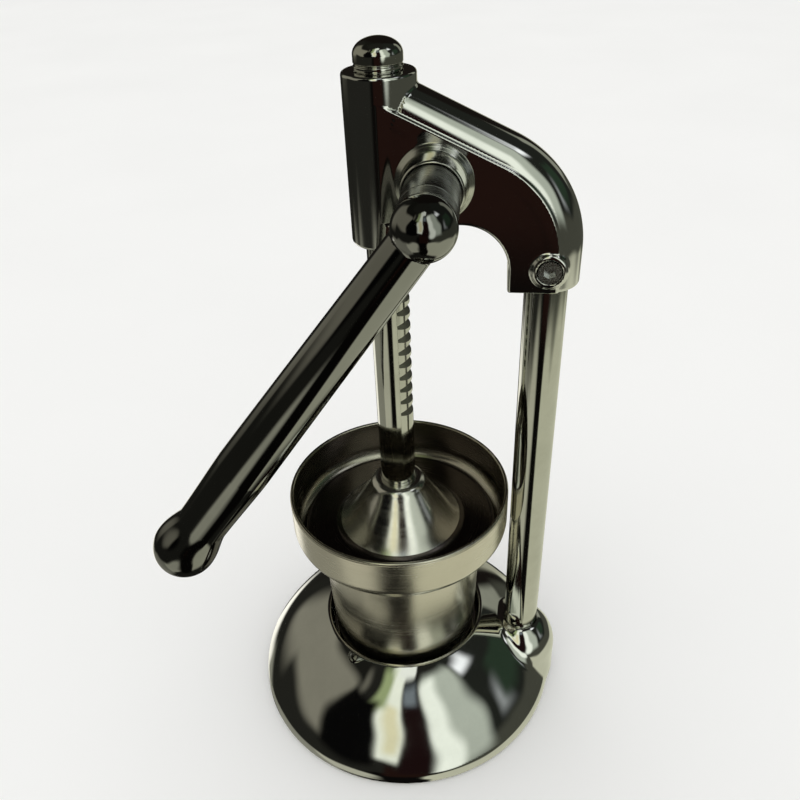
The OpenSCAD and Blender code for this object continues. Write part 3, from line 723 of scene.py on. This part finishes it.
def spun_stainless(name, dark, light, low, high, ring_bump):
    """Spun and buffed stainless sheet: soft, stretched reflections with fine rings round the axis."""
    material, tree = new_material(name)
    spot = add(tree, "ShaderNodeTexCoord").outputs["Object"]
    parts = add(tree, "ShaderNodeSeparateXYZ", {0: spot})
    flat = add(tree, "ShaderNodeVectorMath", {0: spot, 1: (1, 1, 0)}, operation="MULTIPLY")
    radius = add(tree, "ShaderNodeVectorMath", {0: flat.outputs[0]}, operation="LENGTH")
    # across the rings the pattern runs with radius and height, and only slowly round the axis
    across = add(tree, "ShaderNodeMath", {0: radius.outputs["Value"], 1: parts.outputs["Z"]},
                 operation="ADD")
    slow_x = add(tree, "ShaderNodeMath", {0: parts.outputs["X"], 1: 12.0}, operation="MULTIPLY")
    slow_y = add(tree, "ShaderNodeMath", {0: parts.outputs["Y"], 1: 12.0}, operation="MULTIPLY")
    # rings about 0.8 mm apart, drawn coarser than the real 0.2 mm so that they show
    fast = add(tree, "ShaderNodeMath", {0: across.outputs[0], 1: 1300.0}, operation="MULTIPLY")
    run = add(tree, "ShaderNodeCombineXYZ",
              {"X": slow_x.outputs[0], "Y": slow_y.outputs[0], "Z": fast.outputs[0]})
    rings = add(tree, "ShaderNodeTexNoise",
                {"Vector": run.outputs[0], "Scale": 1, "Detail": 4, "Roughness": 0.65})
    stains = add(tree, "ShaderNodeTexNoise", {"Vector": spot, "Scale": 35, "Detail": 6, "Roughness": 0.6})
    tint = blend_colours(tree, stains.outputs["Fac"], dark, light)
    mixed = add(tree, "ShaderNodeMath", {0: rings.outputs["Fac"], 1: stains.outputs["Fac"]},
                operation="ADD")
    rough = add(tree, "ShaderNodeMapRange",
                {"Value": mixed.outputs[0], "From Min": 0.7, "From Max": 1.3, "To Min": low, "To Max": high})
    bump = add(tree, "ShaderNodeBump",
               {"Height": rings.outputs["Fac"], "Strength": ring_bump, "Distance": 0.0001})
    finish_metal(tree, tint, rough, bump, anisotropy=0.4)
    return material


bell_steel = spun_stainless("spun_stainless_presser", "#cfcdc6", "#e6e4dc", 0.12, 0.24, 0.1)
bell_low, bell_high = low_high("presser_bell")
presser_t = 1.5
plate_r = 52.0
bead_r = 1.1
bell_base = bell_low[2] + bead_r + presser_t / 2
bell_top = bell_high[2]
shoulder_round = 5.2
flank_steps = 24


def bell_line(sheet):
    """The bell's face from its crown to the edge of the plate, moved down by the sheet's thickness."""
    crown = arc((10.2 - sheet / 2, bell_top - shoulder_round - sheet), shoulder_round, 90, 22, 8)
    start = np.array(crown[-1])
    end = np.array((36.5 - sheet / 2, bell_base - sheet))
    # a straight cone with a short hollow at its foot
    first = start + 4 * np.array((0.37, -0.93))
    second = end + 5 * np.array((-1.0, 0.04))
    flank = []
    for k in range(1, flank_steps + 1):
        t = k / flank_steps
        flank.append(tuple((1 - t) ** 3 * start + 3 * t * (1 - t) ** 2 * first
                           + 3 * t ** 2 * (1 - t) * second + t ** 3 * end))
    return [(thread_r, bell_top - sheet)] + crown + flank + [(plate_r - 1, bell_base - sheet)]


rolled_edge = arc((plate_r, bell_base - presser_t / 2), bead_r, 130, -130, 16)
bell = turned("presser", bell_line(0) + rolled_edge + bell_line(presser_t)[::-1], ease=0.2, segments=192)
stand_for(bell, bell_steel, "rod", "satin_stainless", "presser_bell")
# painted shade: the flat plate outside the bell is coloured dark for the shade and dark reflections it has
# inside the bowl; the bell keeps the bright steel
bell.data.materials.append(spun_stainless("shaded_stainless_plate", "#4b4542", "#665f5a", 0.16, 0.3, 0.1))
# the painted shade on the plate starts this far from the axis
plate_shade_r = 33.0
for face in bell.data.polygons:
    if math.hypot(face.center.x, face.center.y) > plate_shade_r / 1000:
        face.material_index = 1
dress(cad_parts["presser_washer"], zinc)
dress(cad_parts["presser_screw"], zinc)


# ---- Pinion, shaft and sleeve ----
# The pinion is keyed to a turned steel shaft inside the head. Outside, a satin sleeve covers the
# shaft up to the lever, and a washer and a spring clip hold it on the far side.

def satin_sleeve_steel():
    """Steel sleeve with a satin turned finish: fine rings round it, and patches of grey."""
    material, tree = new_material("satin_turned_sleeve")
    spot = add(tree, "ShaderNodeTexCoord").outputs["Object"]
    stretch = add(tree, "ShaderNodeMapping", {"Vector": spot, "Scale": (1500, 60, 60)})
    rings = add(tree, "ShaderNodeTexNoise",
                {"Vector": stretch.outputs["Vector"], "Scale": 1, "Detail": 4, "Roughness": 0.6})
    patches = add(tree, "ShaderNodeTexNoise", {"Vector": spot, "Scale": 90, "Detail": 5})
    tint = blend_colours(tree, patches.outputs["Fac"], "#7d7e7d", "#979895")
    rough = add(tree, "ShaderNodeMapRange",
                {"Value": rings.outputs["Fac"], "To Min": 0.2, "To Max": 0.34})
    bump = add(tree, "ShaderNodeBump",
               {"Height": rings.outputs["Fac"], "Strength": 0.12, "Distance": 0.0001})
    finish_metal(tree, tint, rough, bump)
    return material


spacer_low, spacer_high = low_high("hub_spacer")
sleeve_steel = satin_sleeve_steel()
spacer_l = spacer_high[0] - spacer_low[0]
spacer_line = [(shaft_r, 0), (hub_r, 0), (hub_r, spacer_l), (shaft_r, spacer_l)]
sleeve = turned("shaft_sleeve", spacer_line, on_shaft(spacer_low[0]))
stand_for(sleeve, sleeve_steel, "lever", "satin_sleeve", "hub_spacer")
for inner in ("pinion_gear", "gear_key", "lever_shaft"):
    dress(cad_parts[inner], turned_steel)
for fastener in ("shaft_washer", "shaft_clip", "hub_grub_screw"):
    dress(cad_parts[fastener], zinc)


# ---- Lever ----
# The lever is one chrome plated casting: a ball on the shaft's end, a bar that widens to a swollen end.
# The short neck between ball and sleeve is left satin, like the sleeve.

lever_x = 61.3
lever_dip = math.radians(53.9)
lever_l = 221.0
ball_r = 12.3
# radius of the bar at the ball, where it is widest, at its neck and at its swollen end
root_r, wide_r, neck_r, swell_r = 9.2, 12.7, 12.2, 15.6
wide_l = 0.64 * lever_l
neck_l = 0.83 * lever_l
swell_l = 0.93 * lever_l
handle_x = float(spacer_high[0])
shaft_tip_x = lever_x - 4
grub_r = 2.5
grub_x = handle_x + 5
lever_start = np.array((lever_x, shaft_y, shaft_z))
lever_way = np.array((0, -math.cos(lever_dip), -math.sin(lever_dip)))


def lever_field(p):
    """Distance to the lever's surface."""
    x, y, z = p.T
    from_ball = p - lever_start
    ball = np.maximum(np.linalg.norm(from_ball, axis=1) - ball_r, handle_x - x)
    along = from_ball @ lever_way
    off = np.linalg.norm(from_ball - along[:, None] * lever_way, axis=1)
    narrow = np.clip((along - wide_l) / (neck_l - wide_l), 0, 1)
    swell = np.clip((along - neck_l) / (swell_l - neck_l), 0, 1)
    radius = root_r + (wide_r - root_r) * np.clip(along / wide_l, 0, 1)
    radius += (neck_r - wide_r) * narrow ** 2 * (3 - 2 * narrow)
    radius += (swell_r - neck_r) * swell ** 2 * (3 - 2 * swell)
    end = np.hypot(off, np.maximum(along - swell_l, 0) * swell_r / (lever_l - swell_l)) - swell_r
    bar = np.where(along > swell_l, end, off - radius)
    bar = np.maximum(bar, -along)
    round_shaft = np.hypot(y - shaft_y, z - shaft_z)
    stub = np.maximum(meet(round_shaft - hub_r, handle_x - x, 0.3), x - lever_x)
    body = join(join(ball, stub, 0.1), bar, 0.5)
    shaft_hole = np.maximum(round_shaft - shaft_r, x - shaft_tip_x)
    grub_way = np.array((0, math.sin(lever_dip), -math.cos(lever_dip)))
    from_grub = p - np.array((grub_x, shaft_y, shaft_z))
    grub_along = from_grub @ grub_way
    grub_off = np.linalg.norm(from_grub - grub_along[:, None] * grub_way, axis=1)
    grub_hole = np.maximum(grub_off - grub_r, -grub_along)
    return cut(cut(body, shaft_hole, 0.2), grub_hole, 0.3)


lever = cast("lever", "lever_handle", lever_field, 0.8)
# painted shade: the lever's chrome is tinted darker than the casting's, for the darker reflections it shows
shaded_lever_chrome = polished_chrome("chrome_plated_lever_with_painted_shade", 0.05, 0.1, "#83837e", "#9c9c97")
stand_for(lever, shaded_lever_chrome, "lever", "chrome_casting", "lever_handle")
lever.data.materials.append(sleeve_steel)
# the ball stands out past the hub from here on
satin_end_x = lever_x - 3.9
for face in lever.data.polygons:
    if face.center.x < satin_end_x / 1000:
        face.material_index = 1


# ---- Strainer bowl ----
# The bowl is deep drawn from stainless sheet, with a rolled rim, and drops into a strainer floor
# with two rings of punched drain holes round a plain reamer.

bowl_low, bowl_high = low_high("strainer_bowl")
bowl_r = bowl_high[0]
rim_r = 1.0
rim_z = bowl_high[2] - rim_r
sheet = 1.2
strainer_z = bowl_low[2]
shelf_r = 48.6
shelf_z = cup_high[2] + rest_gap
corner_r = 9.2
corner_z = shelf_z + 6 + corner_r
strainer_r = 42.2
reamer_r = 27.0
reamer_tip_r = 3.5
reamer_h = 34.0
reamer_steps = 12
drain_r = 1.3
drain_count = 28

bowl_steel = spun_stainless("spun_stainless_bowl", "#c6c0b1", "#ddd8ca", 0.16, 0.3, 0.12)
cup_steel = spun_stainless("spun_stainless_cup", "#cbc5b6", "#e2ddd0", 0.16, 0.3, 0.12)


def bowl_side(inset):
    """The bowl's face from below its rim to the strainer's floor, moved inwards."""
    line = [(bowl_r - inset, rim_z - 0.8)]
    line += arc((bowl_r - corner_r, corner_z), corner_r - inset, 0, -90, 14)
    line += [(shelf_r, shelf_z + inset), (strainer_r - inset, shelf_z + inset)]
    line.append((strainer_r - inset, strainer_z + inset))
    return line


# the reamer is pressed up from the same floor
reamer_line = []
for k in range(reamer_steps + 1):
    t = k / reamer_steps
    radius = reamer_tip_r + (reamer_r - 2.5 - reamer_tip_r) * t
    height = (reamer_h - 2.5) * (1 - t) ** 0.8
    reamer_line.append((radius, strainer_z + sheet + height))
bowl_line = bowl_side(0) + [(reamer_r, strainer_z)]
bowl_line += [(r - sheet, z - sheet) for r, z in reamer_line[::-1] if r > 5]
bowl_line += [(0, strainer_z + reamer_h - 3.2), (0, strainer_z + reamer_h - 1.4)] + reamer_line
bowl_line += bowl_side(sheet)[::-1]
bowl_line += arc((bowl_r - rim_r, rim_z), rim_r, 215, -40, 12)

tree, given = new_tree("punch_rings", {
    "Count": "NodeSocketInt", "Radius": "NodeSocketFloat", "Gap": "NodeSocketFloat",
    "Hole": "NodeSocketFloat", "Height": "NodeSocketFloat", "Material": "NodeSocketMaterial"})
punch = add(tree, "GeometryNodeMeshCylinder", {"Vertices": 20, "Radius": given["Hole"], "Depth": 0.006})
half_step = add(tree, "ShaderNodeMath", {0: math.pi, 1: given["Count"]}, operation="DIVIDE")
both_rings = add(tree, "GeometryNodeJoinGeometry")
for side in (-1, 1):
    offset = add(tree, "ShaderNodeMath", {0: given["Gap"], 1: float(side)}, operation="MULTIPLY")
    radius = add(tree, "ShaderNodeMath", {0: given["Radius"], 1: offset.outputs[0]}, operation="ADD")
    circle = add(tree, "GeometryNodeMeshCircle", {"Vertices": given["Count"], "Radius": radius.outputs[0]})
    angle = add(tree, "ShaderNodeMath", {0: half_step.outputs[0], 1: 0.5 + 0.5 * side},
                operation="MULTIPLY")
    turn = add(tree, "ShaderNodeCombineXYZ", {"Z": angle.outputs[0]})
    lift = add(tree, "ShaderNodeCombineXYZ", {"Z": given["Height"]})
    moved = add(tree, "GeometryNodeTransform",
                {"Geometry": circle.outputs[0], "Translation": lift.outputs[0], "Rotation": turn.outputs[0]})
    tree.links.new(moved.outputs[0], both_rings.inputs[0])
punches = add(tree, "GeometryNodeInstanceOnPoints",
              {"Points": both_rings.outputs[0], "Instance": punch.outputs[0]})
solid_punches = add(tree, "GeometryNodeRealizeInstances", {"Geometry": punches.outputs[0]})
punched = add(tree, "GeometryNodeMeshBoolean", {"Mesh 1": given["Geometry"]}, operation="DIFFERENCE")
tree.links.new(solid_punches.outputs[0], punched.inputs["Mesh 2"])
coloured = add(tree, "GeometryNodeSetMaterial",
               {"Geometry": punched.outputs[0], "Material": given["Material"]})
add(tree, "NodeGroupOutput", {"Geometry": coloured.outputs[0]})

bowl = turned("strainer_and_bowl", bowl_line, ease=0.5, segments=192)
run_tree(bowl, tree, {"Count": drain_count, "Radius": (reamer_r + strainer_r - sheet) / 2000,
                      "Gap": drain_r * 1.7 / 1000, "Hole": drain_r / 1000,
                      "Height": (strainer_z + sheet / 2) / 1000, "Material": bowl_steel})
stand_for(bowl, bowl_steel, "strainer", "satin_stainless", "strainer_bowl")


# ---- Juice cup ----
# The cup is deep drawn stainless with a slight taper, a rounded base and a rolled rim for the bowl.
# It stands in the base's seat with a little play.

cup_z = cup_low[2]
cup_top = cup_high[2]
cup_top_r = 45.0
cup_round = 5.0
cup_rim_r = 2.2
round_centre = (37.5, cup_z + cup_round)
cup_line = [(0, cup_z + sheet)] + arc(round_centre, cup_round - sheet, -90, -4, 8)
cup_line += arc((cup_top_r, cup_top - cup_rim_r), cup_rim_r, 235, -90, 16)
cup_line += arc(round_centre, cup_round, -4, -90, 8) + [(0, cup_z)]
cup = turned("cup", cup_line, ease=0.2, segments=192)
stand_for(cup, cup_steel, "cup", "satin_stainless", "juice_cup")


# ---- Room, floor and camera ----
# The press stands on a plain pale floor in front of a plain pale backdrop. Its mirrors see a studio of
# soft cards instead: pale cloth on the left, black flags in front, a window card above. Left and
# right are the press's own, as it looks out along +X, so left is +Y.

# each card: azimuth and half its width, elevation and half its height, softness, in degrees, and colour
cards = [
    ("dim wall on the right", -88, 42, 26, 30, 14, "#77756a"),
    ("dark ceiling edge on the right", -100, 50, 56, 12, 10, "#171714"),
    ("dark wall on the left", 105, 50, 30, 40, 12, "#1e201d"),
    ("dark wall behind", 180, 32, 28, 42, 12, "#151210"),
    ("grey door on the left", 142, 8, 17, 18, 6, "#7f8176"),
    ("bench edge on the left", 85, 6, 12, 9, 12, "#84888a"),
    ("green plant on the left", 100, 12, 20, 14, 10, "#263328"),
    ("window bar high on the left", 77, 10, 53, 5, 9, "#f2f6fb"),
    ("dark band over the cloth", 90, 62, -13, 11, 7, "#3e3f38"),
    ("pale cloth on the left", 92, 74, -47, 24, 8, "#aeaf9d"),
    ("grey cloth behind", 178, 16, -16, 18, 9, "#8b8b7b"),
    ("pale cloth behind on the right", -134, 16, -38, 12, 8, "#eceae0"),
    ("grey cloth on the right", -90, 32, -42, 20, 9, "#7a7a70"),
    ("grey cloth in front on the right", -38, 24, -42, 15, 8, "#a3a395"),
    ("dark band on the right", -60, 45, -12, 14, 10, "#1f1f1c"),
    ("wide white card", 44, 19, 28, 34, 12, "#a6ada3"),
    ("bright part of the white card", 33, 9, 26, 32, 10, "#e6ece3"),
    ("black flag in front", -2, 19, -42, 34, 10, "#0a0908"),
    ("warm black flag in front", 4, 15, -12, 14, 8, "#1d110e"),
    ("tall white strip", -10, 11, 38, 33, 7, "#e0e5d8"),
    ("cream part of the strip", -9, 6, 28, 16, 9, "#d3cfae"),
    ("green part of the strip", -22, 7, 52, 13, 9, "#8c9970"),
    ("warm black flag above", 12, 10, 27, 29, 7, "#180d0d"),
    ("blue grey top of the flag", 11, 8, 54, 6, 8, "#6a7278"),
    ("black flag on the right", -38, 17, 21, 24, 8, "#070707"),
    ("white card overhead", 2, 14, 70, 6, 5, "#dde1db"),
]

world = bpy.data.worlds.new("studio")
bpy.context.scene.world = world
world.use_nodes = True
# each mirror finds the cards by its own rays, so that the white backdrop never lights it
world.cycles.sampling_method = "NONE"
tree = world.node_tree
tree.nodes.clear()
way = add(tree, "ShaderNodeTexCoord").outputs["Generated"]
# a slow warp bends the cards' edges a little, as hung cloth does
warp = add(tree, "ShaderNodeTexNoise", {"Vector": way, "Scale": 2.2, "Detail": 0})
centred = add(tree, "ShaderNodeVectorMath", {0: warp.outputs["Color"], 1: (0.5, 0.5, 0.5)},
              operation="SUBTRACT")
small = add(tree, "ShaderNodeVectorMath", {0: centred.outputs[0], 3: 0.3}, operation="SCALE")
bent = add(tree, "ShaderNodeVectorMath", {0: way, 1: small.outputs[0]}, operation="ADD")
unit = add(tree, "ShaderNodeVectorMath", {0: bent.outputs[0]}, operation="NORMALIZE")
parts = add(tree, "ShaderNodeSeparateXYZ", {0: unit.outputs[0]})
turn = add(tree, "ShaderNodeMath", {0: parts.outputs["Y"], 1: parts.outputs["X"]}, operation="ARCTAN2")
azimuth = add(tree, "ShaderNodeMath", {0: turn.outputs[0]}, operation="DEGREES").outputs[0]
lift = add(tree, "ShaderNodeMath", {0: parts.outputs["Z"]}, operation="ARCSINE")
elevation = add(tree, "ShaderNodeMath", {0: lift.outputs[0]}, operation="DEGREES").outputs[0]


def inside(angle, middle, half, soft):
    """One within half of the middle angle, falling softly to nought."""
    off = add(tree, "ShaderNodeMath", {0: angle, 1: float(middle)}, operation="SUBTRACT")
    round_off = add(tree, "ShaderNodeMath", {0: off.outputs[0], 1: 180.0, 2: -180.0}, operation="WRAP")
    size = add(tree, "ShaderNodeMath", {0: round_off.outputs[0]}, operation="ABSOLUTE")
    fall = add(tree, "ShaderNodeMapRange",
               {"Value": size.outputs[0], "From Min": half + soft / 2, "From Max": half - soft / 2},
               interpolation_type="SMOOTHSTEP")
    return fall.outputs[0]


room = add(tree, "ShaderNodeRGB").outputs[0]
room.default_value = linear("#1d1d1a")
for label, across, half_width, up, half_height, soft, code in cards:
    wide = inside(azimuth, across, half_width, soft)
    high = inside(elevation, up, half_height, soft)
    share = add(tree, "ShaderNodeMath", {0: wide, 1: high}, operation="MULTIPLY", label=label)
    card = add(tree, "ShaderNodeMix", {"Factor": share.outputs[0], 6: room, 7: linear(code)},
               data_type="RGBA")
    room = card.outputs[2]
room_light = add(tree, "ShaderNodeBackground", {"Color": room, "Strength": 1.6})
backdrop = add(tree, "ShaderNodeBackground", {"Color": linear("#ffffff"), "Strength": 1.0})
ray = add(tree, "ShaderNodeLightPath")
seen = add(tree, "ShaderNodeMixShader",
           {0: ray.outputs["Is Glossy Ray"], 1: backdrop.outputs[0], 2: room_light.outputs[0]})
add(tree, "ShaderNodeOutputWorld", {"Surface": seen.outputs[0]})
bpy.context.scene.view_settings.view_transform = "Standard"

floor_material, tree = new_material("pale_floor")
spot = add(tree, "ShaderNodeTexCoord").outputs["Object"]
mottle = add(tree, "ShaderNodeTexNoise", {"Vector": spot, "Scale": 3, "Detail": 3})
tint = blend_colours(tree, mottle.outputs["Fac"], "#f4f4f2", "#fafaf8")
shader = add(tree, "ShaderNodeBsdfPrincipled", {"Base Color": tint, "Roughness": 0.9})
add(tree, "ShaderNodeOutputMaterial", {"Surface": shader.outputs[0]})
floor_mesh = bpy.data.meshes.new("floor")
reach = 4.0
floor_mesh.from_pydata([(-reach, -reach, 0), (reach, -reach, 0), (reach, reach, 0), (-reach, reach, 0)],
                       [], [(0, 1, 2, 3)])
floor = place("floor", floor_mesh)
dress(floor, floor_material)
floor.visible_glossy = False

# degrees: the camera's turn about Z, its tilt below the horizontal and its roll
camera_turn, camera_tilt, camera_roll = 98.09, 34.84, -2.57
camera_data = bpy.data.cameras.new("camera")
camera_data.sensor_width = 36
camera_data.lens = 34.62
camera_data.clip_start = 0.01
camera = bpy.data.objects.new("camera", camera_data)
bpy.context.scene.collection.objects.link(camera)
camera.location = (0.3166, 0.0477, 0.4225)
aim = Euler((math.radians(90 - camera_tilt), 0, math.radians(camera_turn))).to_quaternion()
aim = aim @ Quaternion((0, 0, 1), math.radians(camera_roll))
camera.rotation_mode = "QUATERNION"
camera.rotation_quaternion = aim
bpy.context.scene.camera = camera
